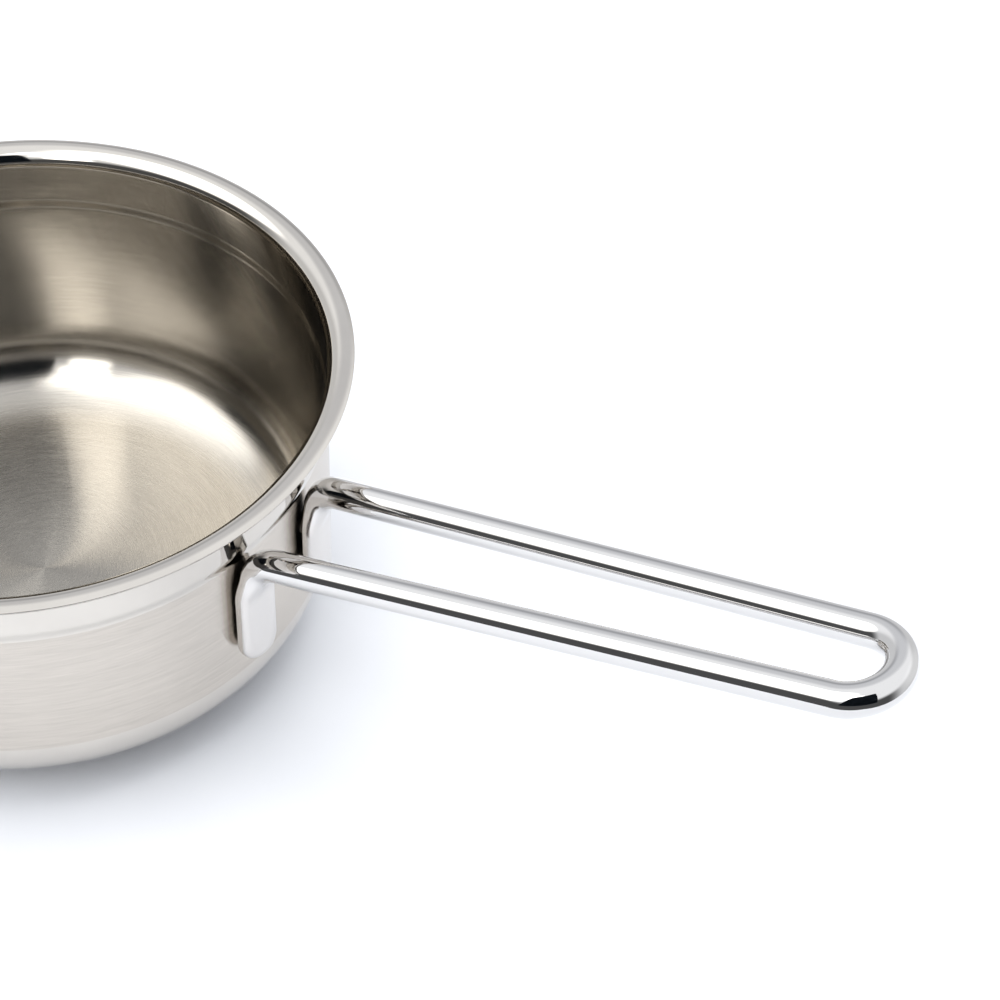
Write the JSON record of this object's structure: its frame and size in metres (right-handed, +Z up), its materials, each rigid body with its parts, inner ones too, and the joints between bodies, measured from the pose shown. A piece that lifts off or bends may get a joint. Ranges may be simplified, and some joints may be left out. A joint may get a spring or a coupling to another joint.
{
  "type": "melting pot",
  "caption": "Small open stainless steel pot with a pouring lip, heat-spreading base and long bent-wire loop handle, for melting wax, soap or resin.",
  "frame": {"origin": "on the bowl's axis, in the plane that the base stands on", "axes": "+Z up along the bowl's axis, +X towards the end of the handle, XZ is the mirror plane"},
  "size_m": [0.3318, 0.1758, 0.1163],
  "materials": {
    "shell": "stainless steel, brushed round the wall, polished lip, band and corner",
    "core": "plain rolled aluminium, hidden",
    "base_cap": "stainless steel, turned underside",
    "handle": "mirror-polished stainless steel rod",
    "weld": "bare weld metal"
  },
  "bodies": {
    "root": {"shell": "shell", "core": "core", "base_cap": "base_cap", "handle": "handle", "weld_nuggets": "weld"}
  },
  "joints": []
}
